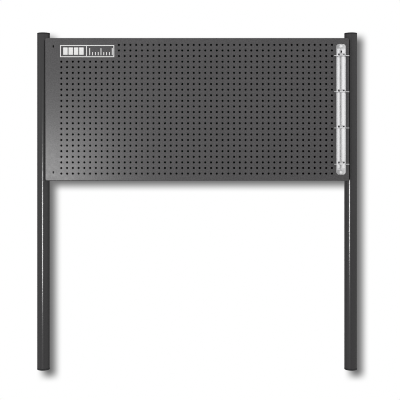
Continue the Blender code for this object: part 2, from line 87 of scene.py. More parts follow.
PANEL_LOW, PANEL_HIGH, PANEL_MID = box("perforated_panel")
PANEL_FRONT = PANEL_LOW[1]
print("panel", np.round(PANEL_HIGH - PANEL_LOW, 4), "middle", np.round(PANEL_MID, 4))

# %% [markdown]
# ## The camera first
#
# A product view of a flat thing is taken square on, from a few metres. The lens is shifted down a little, as
# a technical camera's is, because a tilt would make the posts lean together.

# %% Camera
CAMERA_DISTANCE = 3.69      # from the panel's face
CAMERA_X, CAMERA_HEIGHT = 0.0126, 0.9654
LENS_MM, SENSOR_MM, LENS_SHIFT = 76.5, 36.0, -0.125
FAR_CLIP = 200.0


def add_camera():
    """A level camera in front of the panel."""
    data = bpy.data.cameras.new("camera")
    data.lens, data.sensor_width, data.shift_y, data.clip_end = LENS_MM, SENSOR_MM, LENS_SHIFT, FAR_CLIP
    camera = bpy.data.objects.new("camera", data)
    bpy.context.scene.collection.objects.link(camera)
    camera.location = (CAMERA_X, PANEL_FRONT - CAMERA_DISTANCE, CAMERA_HEIGHT)
    camera.rotation_euler = (math.radians(90), 0.0, 0.0)
    bpy.context.scene.camera = camera
    bpy.context.scene.cycles.filter_width = 1.0
    return camera


camera = add_camera()
print("camera at", tuple(round(v, 3) for v in camera.location))

# %% [markdown]
# ## From numbers to a mesh
#
# Every piece is worked out as arrays of points. One helper puts them into a mesh, turns the faces outwards,
# shades round stretches smooth, and hangs the piece on the model's one body. The enclosed volume tells which
# way the faces look: it is negative for a shape that is inside out.

# %% Mesh helpers
def enclosed_volume(points, polygons):
    """Sum over fans of triangles of a . (b x c) / 6."""
    total = 0.0
    for block in polygons:
        for k in range(1, block.shape[1] - 1):
            a, b, c = (points[block[:, i]] for i in (0, k, k + 1))
            total += float(np.einsum("ij,ij->", a, np.cross(b, c)))
    return total / 6


def outwards(points, polygons):
    """The polygons turned round if they enclose a negative volume."""
    if enclosed_volume(points, polygons) < 0:
        return [block[:, ::-1] for block in polygons]
    return polygons


def piece_from(name, shape, material, node=None, sharp=35.0, even=False):
    """
    Makes a named piece from points (n, 3) and blocks of polygons, one block for each number of corners.
    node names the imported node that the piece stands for. even keeps flats flat beside round edges.
    """
    mesh = bpy.data.meshes.new(name)
    mesh.from_pydata(shape[0].tolist(), [], [face for block in outwards(*shape) for face in block.tolist()])
    mesh.shade_smooth()
    mesh.set_sharp_from_angle(angle=math.radians(sharp))
    mesh.materials.append(material)
    piece = bpy.data.objects.new(name, mesh)
    bpy.context.scene.collection.objects.link(piece)
    if even:
        piece.modifiers.new("Even", "WEIGHTED_NORMAL").keep_sharp = True
    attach(piece, "root")
    if node is not None:
        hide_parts(node)
    return piece


def stood(outline, y):
    """An outline (x, z) as points at a depth y."""
    return np.column_stack([outline[:, 0], np.full(len(outline), y), outline[:, 1]])


def grid_quads(rows, columns, wrap_rows):
    """Corner numbers of the quads of a grid of points stored row by row, its columns joined in a ring."""
    i, j = (a.ravel() for a in np.indices((rows if wrap_rows else rows - 1, columns)))
    i2, j2 = (i + 1) % rows, (j + 1) % columns
    return np.stack([i * columns + j, i * columns + j2, i2 * columns + j2, i2 * columns + j], 1)


def rings_to_faces(rings, closed=False):
    """Points and polygons of rings (m, n, 3) joined in order; open ends get one flat polygon each."""
    m, n = rings.shape[:2]
    blocks = [grid_quads(m, n, closed)]
    if not closed:
        blocks.append(np.stack([np.arange(n)[::-1], (m - 1) * n + np.arange(n)]))
    return rings.reshape(-1, 3), blocks


def join(parts):
    """Several closed shapes (points, polygons) as one, with the corner numbers moved along."""
    points, blocks, start = [], [], 0
    for part_points, part_blocks in parts:
        points.append(part_points)
        blocks += [block + start for block in outwards(part_points, part_blocks)]
        start += len(part_points)
    return np.concatenate(points), blocks


print("helpers ready")

# %% [markdown]
# ## Turned pieces
#
# Tubes, caps, screws and nuts are things a lathe could make: one profile of radius against height, carried
# round an axis. A profile is a short list of corners; a round edge is a few extra points on an arc.

# %% Turned surfaces
def arc(centre, radius, start, stop, steps):
    """Points on an arc: centre + radius (cos a, sin a), a from start to stop in degrees."""
    a = np.radians(np.linspace(start, stop, steps + 1))
    return np.stack([centre[0] + radius * np.cos(a), centre[1] + radius * np.sin(a)], 1)


def turned(profile, segments, at, axis="Z", closed=False):
    """
    Rings of the profile's (radius, height) pairs about an axis through at: radius (cos a, sin a) across the
    axis and height along it. Either may be an array over the angles, as for a hexagon. Axis -Y points the
    height at the front, +Y at the back.
    """
    a = np.arange(segments) * 2 * math.pi / segments
    radius = np.array([np.broadcast_to(r, segments) for r, _ in profile], float)
    along = np.array([np.broadcast_to(h, segments) for _, h in profile], float)
    first, second = radius * np.cos(a), radius * np.sin(a)
    rings = {"Z": (first, second, along), "-Y": (first, -along, second), "+Y": (first, along, second)}[axis]
    return rings_to_faces(np.stack(rings, 2) + np.array(at, float), closed)


print("a quarter arc has", len(arc((0, 0), 1, 0, 90, 6)), "points")

# %% [markdown]
# ## Paint and metal
#
# Powder coat is a baked plastic skin with a nearly even colour, a soft gloss and the fine bumps of orange
# peel. Noise in the piece's own coordinates gives all three: slow noise for the colour and the gloss, fast
# noise for the bumps. Metal takes its look from what it mirrors, so it needs an even tone, low roughness and
# faint marks along the direction in which it was drawn.

# %% Node helpers
def new_material(name):
    """An empty Principled material, its node tree and its shader node."""
    material = bpy.data.materials.new(name)
    material.use_nodes = True
    return material, material.node_tree, material.node_tree.nodes["Principled BSDF"]


def feed(tree, node, inputs):
    """Sets each input to a number, or links it to a socket."""
    for key, value in inputs.items():
        if isinstance(value, bpy.types.NodeSocket):
            tree.links.new(value, node.inputs[key])
        else:
            node.inputs[key].default_value = value


def add_node(tree, kind, inputs, output=0, **settings):
    """The output of a new shader node with these inputs and settings."""
    node = tree.nodes.new("ShaderNode" + kind)
    for key, value in settings.items():
        setattr(node, key, value)
    feed(tree, node, inputs)
    return node if output is None else node.outputs[output]


def combine(tree, operation, first, second):
    """A maths node on two values, each a socket or a number."""
    return add_node(tree, "Math", {0: first, 1: second}, operation=operation)


def noise(tree, scale, detail=3.0, stretch=(1, 1, 1)):
    """Noise over the piece's own coordinates, stretched along an axis by a scale under one."""
    place = add_node(tree, "TexCoord", {}, "Object")
    place = add_node(tree, "Mapping", {"Vector": place, "Scale": stretch}, "Vector")
    return add_node(tree, "TexNoise", {"Vector": place, "Scale": scale, "Detail": detail}, "Fac")


def spread(tree, value, low, high, start=0.3, stop=0.7, **settings):
    """A value from start to stop mapped to low to high."""
    return add_node(tree, "MapRange", {"Value": value, "From Min": start, "From Max": stop, "To Min": low,
                                       "To Max": high}, "Result", **settings)


def two_tones(tree, value, first, second):
    """A colour between two, by a value from 0 to 1."""
    return add_node(tree, "Mix", {"Factor": value, "A": (*first, 1), "B": (*second, 1)}, "Result",
                    data_type="RGBA")


def bumps(tree, value, height, strength):
    """The normal of a surface raised by a value, with the height in metres."""
    return add_node(tree, "Bump", {"Height": value, "Distance": height, "Strength": strength}, "Normal")


print("node helpers ready")

# %% Powder coats, plastic and metals
def powder_coat(name, colour, roughness, specular=0.5, peel=0.4, grain=0.06):
    """Colour drifts slowly and is grained finely, gloss varies a little, orange peel stands 20 microns."""
    material, tree, shader = new_material(name)
    drift = spread(tree, noise(tree, 5.0), 0.0, 1.0)
    fine = spread(tree, noise(tree, 230.0, 1.0), 1.0 - grain, 1.0 + grain, 0.35, 0.65)
    share = combine(tree, "MULTIPLY", spread(tree, drift, 0.47, 0.53, 0.0, 1.0), fine)
    feed(tree, shader, {
        "Base Color": two_tones(tree, share, (0, 0, 0), [c * 2 for c in colour]),
        "Roughness": spread(tree, noise(tree, 60.0, 4.0), roughness * 0.95, roughness * 1.05),
        "Normal": bumps(tree, noise(tree, 650.0, 2.0), 0.00002, peel),
        "Specular IOR Level": specular})
    return material


def drawn_metal(name, colour, low, high, stretch=(1, 1, 1), marks=300.0):
    """Bare or plated metal: tone and roughness vary along fine lines in the direction it was drawn."""
    material, tree, shader = new_material(name)
    lines = noise(tree, marks, 2.0, stretch)
    cloud = spread(tree, noise(tree, 45.0, 4.0), 0.0, 1.0)
    feed(tree, shader, {
        "Base Color": two_tones(tree, cloud, [c * 0.94 for c in colour], colour),
        "Roughness": spread(tree, lines, low, high),
        "Normal": bumps(tree, lines, 0.00001, 0.15),
        "Metallic": 1.0})
    return material


def moulded_plastic(name, colour, roughness):
    """Moulded plastic: even colour, a fine spark-eroded grain and slightly uneven gloss."""
    material, tree, shader = new_material(name)
    cloud = spread(tree, noise(tree, 30.0), 0.0, 1.0)
    feed(tree, shader, {
        "Base Color": two_tones(tree, cloud, colour, [c * 1.25 for c in colour]),
        "Roughness": spread(tree, noise(tree, 400.0), roughness * 0.9, roughness * 1.1),
        "Normal": bumps(tree, noise(tree, 1500.0, 1.0), 0.00003, 0.4)})
    return material


panel_coat = powder_coat("panel_coat", (0.053, 0.051, 0.053), 0.30, grain=0.20)
post_coat = powder_coat("post_coat", (0.018, 0.0172, 0.018), 0.20, peel=0.12)
moulded_black = moulded_plastic("moulded_black", (0.008, 0.008, 0.009), 0.50)
bright_plate = drawn_metal("bright_plate", (0.88, 0.88, 0.89), 0.08, 0.13, (1, 1, 0.04), 900.0)
zinc_skin = drawn_metal("zinc_skin", (0.62, 0.63, 0.64), 0.28, 0.42)
# The near-black undercoat inside the tray is painted shade: it is this dark so that the holes read black.
primer_painted_shade = powder_coat("black_primer_painted_shade", (0.006, 0.006, 0.006), 0.60, 0.15)
black_steel = drawn_metal("black_steel", (0.045, 0.045, 0.05), 0.30, 0.42)
weld_bead = drawn_metal("weld_bead", (0.060, 0.058, 0.060), 0.35, 0.50, marks=500.0)
print("materials", [m.name for m in bpy.data.materials])

# %% [markdown]
# ## The panel: one sheet, folded and pierced
#
# A punch press makes the holes, then a brake folds the edges back and a lip in behind them. Cutting more
# than a thousand holes with Booleans would be slow and leave ragged triangles, so the face is drawn as
# cells: a cell with a hole joins twelve points on its sides to twelve round the hole, and a plain cell is
# one flat polygon. The folds are rings carried round the border.

# %% A pierced sheet as cells
def walk_round(m):
    """Steps (i, j) round a cell of m by m, from its low left corner, counter-clockwise: 4 m of them."""
    up, full, none = np.arange(m), np.full(m, m), np.zeros(m, int)
    return np.concatenate([up, full, m - up, none]), np.concatenate([none, up, full, m - up])


def rounded(x, z, half_x, half_z, r):
    """Moves a rectangle's four corner squares onto quarter discs: u, v become max(u, v) (cos, sin)."""
    u, v = (np.abs(x) - half_x + r) / r, (np.abs(z) - half_z + r) / r
    inside = (u > 0) & (v > 0)
    reach = np.maximum(np.maximum(u, v), 1e-9)
    turn = np.where(u >= v, v / reach * math.pi / 4, math.pi / 2 - u / reach * math.pi / 4)
    new_x = np.sign(x) * (half_x - r + r * reach * np.cos(turn))
    new_z = np.sign(z) * (half_z - r + r * reach * np.sin(turn))
    return np.where(inside, new_x, x), np.where(inside, new_z, z)


def pierced_face(x_lines, z_lines, cells, centres, sizes, m=3, fine=False):
    """
    Cells between two sets of lines, some of them pierced. cells are (column, row) numbers of the pierced
    ones, with hole centres (x, z) and sizes (width, height); a hole taller than wide has straight sides.
    Each side of a cell has m steps. A plain cell is one polygon, or m by m small ones where fine.
    Gives points (n, 2), side and hole corner numbers of pierced cells, plain faces and the border's points.
    """
    nx, nz = len(x_lines) - 1, len(z_lines) - 1
    tall = m * nz + 1
    x = np.interp(np.arange(m * nx + 1) / m, np.arange(nx + 1), x_lines)
    z = np.interp(np.arange(tall) / m, np.arange(nz + 1), z_lines)
    points = np.stack([a.ravel() for a in np.meshgrid(x, z, indexing="ij")], 1)
    side_i, side_j = walk_round(m)
    column, row = (a.ravel() for a in np.indices((nx, nz)))
    corner = m * column * tall + m * row
    sides = corner[:, None] + side_i * tall + side_j
    number = cells[:, 0] * nz + cells[:, 1]
    chosen = np.zeros(nx * nz, bool)
    chosen[number] = True
    plain = sides[~chosen]
    if fine:
        i, j = (a.ravel() for a in np.indices((m, m)))
        quad = np.stack([i * tall + j, (i + 1) * tall + j, (i + 1) * tall + j + 1, i * tall + j + 1], 1)
        plain = (corner[~chosen][:, None, None] + quad).reshape(-1, 4)
    angles = math.radians(225) + np.arange(4 * m) * 2 * math.pi / (4 * m)
    half = sizes[:, :1] / 2
    straight = (sizes[:, 1:] - sizes[:, :1]) / 2
    hole_x = centres[:, :1] + half * np.cos(angles)
    hole_z = centres[:, 1:] + half * np.sin(angles) + straight * np.sign(np.round(np.sin(angles), 9))
    holes = len(points) + np.arange(4 * m * len(cells)).reshape(-1, 4 * m)
    points = np.concatenate([points, np.stack([hole_x.ravel(), hole_z.ravel()], 1)])
    i, j = np.arange(m * nx), np.arange(m * nz)
    border = np.concatenate([i * tall, m * nx * tall + j, (m * nx - i) * tall + m * nz, m * nz - j])
    used = np.unique(np.concatenate([sides.ravel(), plain.ravel(), holes.ravel()]))
    renumber = np.zeros(len(points), int)
    renumber[used] = np.arange(len(used))
    return (points[used], renumber[sides[number]], renumber[holes], renumber[plain], renumber[border])


def folded_sheet(face, front, back, rims):
    """
    A closed sheet: the face's points lifted to front and back (n, 3), hole walls between them, and the rims,
    arrays (rings, border points, 3), carried from the front's border round to the back's.
    """
    _, sides, holes, plain, border = face
    n, b = len(front), len(border)
    ahead = np.roll(np.arange(sides.shape[1]), -1)
    round_hole = np.stack([sides, sides[:, ahead], holes[:, ahead], holes], 2).reshape(-1, 4)
    wall = np.stack([holes, holes[:, ahead], holes[:, ahead] + n, holes + n], 2).reshape(-1, 4)
    rings = np.concatenate([border[None], 2 * n + np.arange(len(rims) * b).reshape(-1, b),
                            border[None] + n])
    following = np.roll(rings, -1, 1)
    rim = np.stack([following[:-1], rings[:-1], rings[1:], following[1:]], 2).reshape(-1, 4)
    points = np.concatenate([front, back, np.asarray(rims).reshape(-1, 3)])
    return points, [round_hole, round_hole[:, ::-1] + n, wall, rim, plain, plain[:, ::-1] + n]


print("a cell of 3 by 3 has", len(walk_round(3)[0]), "points round it")

# %% Lines, holes and slots of the panel
SHEET = 0.0015
FOLD_R = 0.003
LIP_R = 0.0025
CORNER_R = 0.008
SIDE_LIP = 0.048
END_LIP = 0.016
PITCH = np.array([0.0250, 0.0243])
COLUMNS, ROWS = 48, 24
HOLE_D = 0.0098
MARK_COLUMNS, MARK_ROWS = 10, 3
SLOT = np.array([0.0066, 0.0110])
SLOT_AT = middle("rail_top_screw")[[0, 2]] - PANEL_MID[[0, 2]]
SLOT_CELL = 0.0125
GRID_SHIFT = np.array([-0.0020, 0.0008])
GRID_START = (4, 2)         # cells across and up before the grid's own


def panel_lines():
    """Lines that cut the face up: the hole grid's own, the slots' cells and the corners' squares."""
    half = (PANEL_HIGH - PANEL_LOW)[[0, 2]] / 2 - FOLD_R
    inner = half - (CORNER_R - FOLD_R)
    grid_x = (np.arange(COLUMNS + 1) - COLUMNS / 2) * PITCH[0] + GRID_SHIFT[0]
    grid_z = (np.arange(ROWS + 1) - ROWS / 2) * PITCH[1] + GRID_SHIFT[1]
    slot_x = [SLOT_AT[0] - SLOT_CELL, SLOT_AT[0] + SLOT_CELL]
    x = np.concatenate([[-half[0], -inner[0]], [-v for v in slot_x[::-1]], grid_x, slot_x,
                        [inner[0], half[0]]])
    z = np.concatenate([[-half[1], -inner[1]], grid_z, [inner[1], half[1]]])
    return x, z, half


def panel_holes(x, z):
    """Cells, centres and sizes of the round holes, less the block kept clear for the mark, and the slots."""
    column, row = (a.ravel() for a in np.indices((COLUMNS, ROWS)))
    clear = (column < MARK_COLUMNS) & (row >= ROWS - MARK_ROWS)
    cells = np.stack([column, row], 1)[~clear] + GRID_START
    centres = np.stack([(x[cells[:, 0]] + x[cells[:, 0] + 1]) / 2,
                        (z[cells[:, 1]] + z[cells[:, 1] + 1]) / 2], 1)
    sizes = np.full((len(cells), 2), HOLE_D)
    ends = [(s, t) for s in (-1, 1) for t in (-1, 1)]
    slot_centres = np.array([[s * SLOT_AT[0], t * SLOT_AT[1]] for s, t in ends])
    slot_cells = np.stack([np.searchsorted(x, slot_centres[:, 0]) - 1,
                           np.searchsorted(z, slot_centres[:, 1]) - 1], 1)
    return (np.concatenate([cells, slot_cells]), np.concatenate([centres, slot_centres]),
            np.concatenate([sizes, np.repeat(SLOT[None], 4, 0)]))


x_lines, z_lines, face_half = panel_lines()
cells, centres, sizes = panel_holes(x_lines, z_lines)
print(len(cells) - 4, "holes and 4 slots")

# %% The panel's folds
def fold_rings(flat, half):
    """
    Rings from the face's border round the fold, along the return, round the lip and back inside. A ring is
    the border moved outwards by an offset; the lip's edge is the border shrunk to the mouth's size.
    """
    core_half = half - (CORNER_R - FOLD_R)
    core = np.clip(flat, -core_half, core_half)
    out = (flat - core) / np.linalg.norm(flat - core, axis=1, keepdims=True)
    mouth = flat * (half + FOLD_R - [SIDE_LIP, END_LIP]) / half
    depth = PANEL_HIGH[1] - PANEL_LOW[1]
    fold, lip = (0, FOLD_R), (FOLD_R - LIP_R, depth - LIP_R)
    outer = [*arc(fold, FOLD_R, -90, 0, 5)[1:], *arc(lip, LIP_R, 0, 90, 5)]
    inner = [*arc(lip, LIP_R - SHEET, 90, 0, 5), *arc(fold, FOLD_R - SHEET, 0, -90, 5)[:-1]]
    outer, inner = ([stood(flat + out * offset, y) for offset, y in side] for side in (outer, inner))
    return np.array(outer + [stood(mouth, depth), stood(mouth, depth - SHEET)] + inner)


def make_panel():
    face = pierced_face(x_lines, z_lines, cells, centres, sizes)
    flat = np.stack(rounded(*face[0].T, *face_half, CORNER_R - FOLD_R), 1)
    place = np.array([PANEL_MID[0], PANEL_FRONT, PANEL_MID[2]])
    front = stood(flat, 0.0) + place
    rims = fold_rings(flat[face[4]], face_half) + place
    shape = folded_sheet(face, front, front + [0, SHEET, 0], rims)
    return piece_from("pierced_panel", shape, panel_coat, "perforated_panel", 40, even=True)


panel = make_panel()
print("panel", len(panel.data.polygons), "faces, box", np.round(panel.dimensions, 4))

# %% [markdown]
# ## The sheet that closes the back
#
# Seen from the front the holes are black, because a plain sheet screwed over the tray's mouth keeps the
# light out and its inside is coloured near black as painted shade. It is a rectangle with small round
# corners, whose edge is broken by a quarter of a millimetre.

# %% Back cover
COVER_CORNER = 0.006
COVER_EDGE = 0.00025
FACES_BACK = 0.3            # a normal's y from which a face is on the outside


def rounded_outline(low, high, radii, n):
    """Counter-clockwise outline of a rectangle (x, z): n points at each corner, radii from the low left."""
    corners = [(low[0], low[1], 180), (high[0], low[1], 270), (high[0], high[1], 0), (low[0], high[1], 90)]
    inward = [(1, 1), (-1, 1), (-1, -1), (1, -1)]
    return np.concatenate([arc((cx + i * r, cz + j * r), r, start, start + 90, n - 1)
                           for (cx, cz, start), (i, j), r in zip(corners, inward, radii)])


def out_of(border):
    """Unit normals of a closed counter-clockwise outline, from the points on either side."""
    along = np.roll(border, -1, 0) - np.roll(border, 1, 0)
    out = np.stack([along[:, 1], -along[:, 0]], 1)
    return out / np.linalg.norm(out, axis=1, keepdims=True)


def plate_rings(outline, y0, y1, edge):
    """Rings of an outline (x, z) from y0 to y1, drawn in a little at both faces."""
    out = out_of(outline)
    steps = [(-edge, y0), (-0.3 * edge, y0 + 0.3 * edge), (0.0, y0 + edge), (0.0, y1 - edge),
             (-0.3 * edge, y1 - 0.3 * edge), (-edge, y1)]
    return np.array([stood(outline + out * offset, y) for offset, y in steps])


def make_cover():
    """The outside is painted as the panel is; the inside has a near-black undercoat, painted shade that keeps
    the holes black.
    """
    low, high, _ = box("back_cover")
    outline = rounded_outline(low[[0, 2]], high[[0, 2]], [COVER_CORNER] * 4, 10)
    shape = rings_to_faces(plate_rings(outline, low[1], high[1], COVER_EDGE))
    cover = piece_from("closed_back", shape, primer_painted_shade, "back_cover", even=True)
    cover.data.materials.append(panel_coat)
    faces = cover.data.polygons
    normals = np.empty(3 * len(faces))
    faces.foreach_get("normal", normals)
    faces.foreach_set("material_index", (normals[1::3] > FACES_BACK).astype(np.int32))
    return cover


make_cover()
print("cover", np.round(box("back_cover"), 4).tolist())

# %% [markdown]
# ## Posts, caps and feet
#
# Each post is a round tube with a plastic cap knocked into its top and a plastic foot in its lower end. The
# profiles go once round the wall, with the cut edges broken by half a millimetre, and there are enough
# segments for a smooth outline and a clean streak of light.

# %% Posts, caps and feet
TUBE_WALL = 0.002
TUBE_EDGE = 0.0005
PLUG_WALL = 0.0025
PLUG_DEPTH = 0.025
PLUG_SLACK = 0.0006         # between the plug and the tube's bore
GRIP = 0.0008               # how far the grip rings stand out
ROUND = 96
SIDES = ("left", "right")


def upright(name, node, profile, material, closed=False):
    """A profile turned about the upright axis through the node's middle."""
    x, y, _ = middle(node)
    return piece_from(name, turned(profile, ROUND, (x, y, 0), closed=closed), material, node, even=True)


def make_post(side):
    """One closed profile round the wall: outside up, over the cut edge, inside down."""
    low, high, _ = box(f"{side}_post")
    outer = (high[0] - low[0]) / 2
    inner, e, z0, z1 = outer - TUBE_WALL, TUBE_EDGE, low[2], high[2]
    profile = [(outer - e, z0), (outer, z0 + e), (outer, z1 - e), (outer - e, z1),
               (inner + e, z1), (inner, z1 - e), (inner, z0 + e), (inner + e, z0)]
    return upright(f"{side}_tube", f"{side}_post", profile, post_coat, closed=True)


def make_cap(side):
    """A low dome over a straight rim, and below it the hollow plug with three grip rings."""
    low, high, _ = box(f"{side}_post_cap")
    r = (high[0] - low[0]) / 2
    rim = low[2] + PLUG_DEPTH
    plug = r - TUBE_WALL - PLUG_SLACK
    profile = [(plug - PLUG_WALL, rim + 0.001), (plug - PLUG_WALL, low[2]), (plug - 0.001, low[2])]
    for z in (0.006, 0.012, 0.018):
        profile += [(plug - GRIP, low[2] + z - 0.002), (plug, low[2] + z), (plug - GRIP, low[2] + z + 0.001)]
    profile += [(plug - GRIP, rim), (r - 0.0004, rim), (r, rim + 0.0004), (r, rim + 0.0038)]
    shoulder = arc((r - 0.0012, rim + 0.0038), 0.0012, 0, 60, 4)[1:]
    dome_z = np.linspace(shoulder[-1][1], high[2], 9)[1:]
    share = (dome_z - shoulder[-1][1]) / (high[2] - shoulder[-1][1])
    profile += [*shoulder, *zip(shoulder[-1][0] * np.sqrt(1 - share) + 0.0005, dome_z)]
    return upright(f"{side}_cap", f"{side}_post_cap", profile, moulded_black)


def make_foot(side):
    """A disc with a rounded lower edge under the tube, a shallow groove, and the plug inside the tube."""
    low, high, _ = box(f"{side}_foot_plug")
    r = (high[0] - low[0]) / 2
    rim = high[2] - PLUG_DEPTH
    plug = r - TUBE_WALL - PLUG_SLACK
    profile = [(0.006, 0.0008), (0.0075, 0.0), *arc((r - 0.0015, 0.0015), 0.0015, -90, 0, 5),
               (r, rim - 0.0004), (r - 0.0004, rim), (plug - 0.0004, rim), (plug, rim + 0.004),
               (plug - GRIP, high[2]), (plug - PLUG_WALL, high[2]), (plug - PLUG_WALL, rim)]
    return upright(f"{side}_foot", f"{side}_foot_plug", profile, moulded_black)


for side in SIDES:
    make_post(side)
    make_cap(side)
    make_foot(side)
print("posts", np.round(box("left_post"), 4).tolist())

# %% [markdown]
# ## The tool rail
#
# A plated steel strip, pressed so that its middle stands proud of two thin edges and runs down flat at the
# ends to take the screws. The flat pattern is cut into cells as the panel is, and a height lifts its middle:
# a smooth step across the width times one along the length. A crown of a quarter of a millimetre is left,
# because a pressed face is never truly flat, and on a mirror even that much bends what it shows.

# %% Rail
RAIL_T = 0.0015
RAIL_EDGE = 0.0003
RAIL_FOOT = 0.0163
RAIL_TOP = 0.0136
RAIL_CROWN = 0.00025
RAIL_FLAT = 0.020
RAIL_RAMP = 0.006
RAIL_CORNER = np.array([0.009, 0.012])
RAIL_STILL = 0.0079
RAIL_HOLE = np.array([0.0066, 0.0066])
RAIL_SLOT = np.array([0.0065, 0.0110])
RAIL_SLOT_DROP = 0.0240
SMALL_HOLE = np.array([0.0046, 0.0046])
RAIL_LOW, RAIL_HIGH, RAIL_MID = box("tool_rail")
SCREWS = [middle(f"shelf_{n}_{side}_screw")[[0, 2]] - RAIL_MID[[0, 2]] for n in range(1, 5) for side in SIDES]


def smooth_step(t):
    """3 t^2 - 2 t^3 between 0 and 1."""
    t = np.clip(t, 0, 1)
    return t * t * (3 - 2 * t)


def broken_edge(e, t):
    """(outwards, along) steps round the rim of a sheet of thickness t whose two edges are broken by e."""
    return (0.7 * e, 0.3 * e), (e, e), (e, t - e), (0.7 * e, t - 0.3 * e)


def rail_face():
    """The flat pattern's cells: holes at the ends, a slot below the upper one, pairs for the shelves."""
    half_x = (RAIL_HIGH - RAIL_LOW)[0] / 2 - RAIL_EDGE
    half_z = (RAIL_HIGH - RAIL_LOW)[2] / 2 - RAIL_EDGE
    end_z = middle("rail_top_screw")[2] - RAIL_MID[2]
    x = np.array([0.0044, 0.0079, 0.0135, 0.0148, 0.0163, 0.0180, half_x])
    x = np.concatenate([-x[::-1], x])
    low_z = [-half_z, -half_z + 0.0045, -end_z + 0.0045, -half_z + RAIL_FLAT, -half_z + RAIL_FLAT + RAIL_RAMP]
    high_z = [half_z - RAIL_FLAT - RAIL_RAMP, half_z - RAIL_FLAT + 0.0011, end_z - 0.0045, half_z - 0.0045,
              half_z]
    rows = sorted({round(float(p[1]), 6) for p in SCREWS})
    middle_z = [v for r in rows for v in (r - 0.0035, r + 0.0035)]
    z = np.unique(np.round(low_z + middle_z + high_z, 6))
    holes = [((0, end_z), RAIL_HOLE), ((0, -end_z), RAIL_HOLE), ((0, end_z - RAIL_SLOT_DROP), RAIL_SLOT)]
    holes += [(tuple(p), SMALL_HOLE) for p in SCREWS]
    centres = np.array([c for c, _ in holes], float)
    cells = np.stack([np.searchsorted(x, centres[:, 0]) - 1, np.searchsorted(z, centres[:, 1]) - 1], 1)
    return pierced_face(x, z, cells, centres, np.array([s for _, s in holes]), 6, fine=True), half_x, half_z


def make_rail():
    """The pattern narrowed to round ends, lifted to the pressed height, and given its thickness."""
    face, half_x, half_z = rail_face()
    x, z = face[0].T
    from_end = half_z - np.abs(z)
    bend = np.clip(1 - from_end / RAIL_CORNER[1], 0, 1)
    half_w = half_x - RAIL_CORNER[0] * (1 - np.sqrt(1 - bend ** 2))
    past = np.maximum(np.abs(x) - RAIL_STILL, 0) * (half_w - RAIL_STILL) / (half_x - RAIL_STILL)
    x = np.sign(x) * (np.minimum(np.abs(x), RAIL_STILL) + past)
    rise = (RAIL_HIGH - RAIL_LOW)[1] - RAIL_T
    lift = smooth_step((RAIL_FOOT - np.abs(x)) / (RAIL_FOOT - RAIL_TOP))
    lift = lift * smooth_step((from_end - RAIL_FLAT) / RAIL_RAMP)
    crown = RAIL_CROWN * np.minimum(x / RAIL_TOP, 1) ** 2
    y = RAIL_HIGH[1] - RAIL_T - lift * (rise - crown)
    front = np.stack([x, y, z], 1) + [RAIL_MID[0], 0, RAIL_MID[2]]
    border = front[face[4]]
    out = out_of(border[:, [0, 2]])
    rims = [border + stood(out * s, t) for s, t in broken_edge(RAIL_EDGE, RAIL_T)]
    shape = folded_sheet(face, front, front + [0, RAIL_T, 0], rims)
    return piece_from("pressed_rail", shape, bright_plate, "tool_rail", 50)


rail = make_rail()
print("rail", len(rail.data.polygons), "faces, box", np.round(rail.dimensions, 4))

# %% [markdown]
# ## Fasteners
#
# Nuts and bolts are turned profiles, with a hexagon where a spanner or a key goes: a circle whose radius
# follows flats / 2 / cos(a), with a measured from the nearest flat. The chamfer is where a shallow cone meets
# the hexagon, so its lower edge dips at the corners. Threads are rings, since a real helix of this pitch
# looks the same from any distance at which the whole bolt can be seen.

# %% Fastener profiles
HEX_N = 48
HEX_ANGLES = np.arange(HEX_N) * 2 * math.pi / HEX_N


def hexagon(flats):
    """Radius of a hexagon of this width across flats at each angle, its corners up and down."""
    return flats / 2 / np.cos((HEX_ANGLES + math.pi / 3) % (math.pi / 3) - math.pi / 6)


def thread(r, pitch, start, stop):
    """Rings from start to stop: crest, flank and root of each turn."""
    step = math.copysign(pitch, stop - start)
    profile = []
    for k in range(int(abs(stop - start) / pitch)):
        at = start + k * step
        profile += [(r * 0.86, at + 0.1 * step), (r, at + 0.45 * step), (r, at + 0.6 * step),
                    (r * 0.86, at + 0.95 * step)]
    return profile


def chamfered(flats):
    """Radius of a hexagon, of the circle its chamfer leaves, and the chamfer's fall at 30 degrees."""
    corner, top = hexagon(flats), flats / 2 * 0.95
    return corner, top, (corner - top) * math.tan(math.radians(30))


def bolt_profile(flats, r, pitch, head, shank):
    """A hex bolt from the shank's end at -shank to the top of its head."""
    plain = min(0.3 * shank, 0.008)
    corner, top, fall = chamfered(flats)
    return [(r * 0.7, -shank), (r * 0.86, -shank + 0.0008), *thread(r, pitch, -shank + 0.0009, -plain),
            (r, -plain), (r, 0.0), (flats / 2 * 0.97, 0.0), (corner, 0.03 * head), (corner, head - fall),
            (top, head), (flats * 0.3, head - 0.0002)]


def nut_profile(flats, bore, height):
    """A hex nut, chamfered at both ends, its bore opened a little at each face."""
    corner, top, fall = chamfered(flats)
    return [(bore, 0.0007), (bore * 1.15, 0.0), (top, 0.0), (corner, fall), (corner, height - fall),
            (top, height), (bore * 1.15, height), (bore, height - 0.0007)]


def socket_head(r, height, flats, shank_r, shank, pitch):
    """A button head with a hexagon socket: thread, flat underside, dome, and the socket's walls and floor."""
    rim = flats / 2 * 1.28
    dome = [(rim + (r - rim) * math.cos(a), height * (0.22 + 0.78 * math.sin(a)))
            for a in np.linspace(0, math.pi / 2, 9)]
    return [(shank_r * 0.7, -shank), (shank_r * 0.86, -shank + 0.0006),
            *thread(shank_r, pitch, -shank + 0.0007, -0.0005), (shank_r * 0.9, 0.0), (r * 0.97, 0.0),
            (r, height * 0.06), *dome, (hexagon(flats), height - 0.0003), (hexagon(flats), height * 0.42),
            (flats * 0.25, height * 0.30)]


print("an M8 hexagon is", round(float(hexagon(0.013).max() * 2000), 2), "mm across corners")

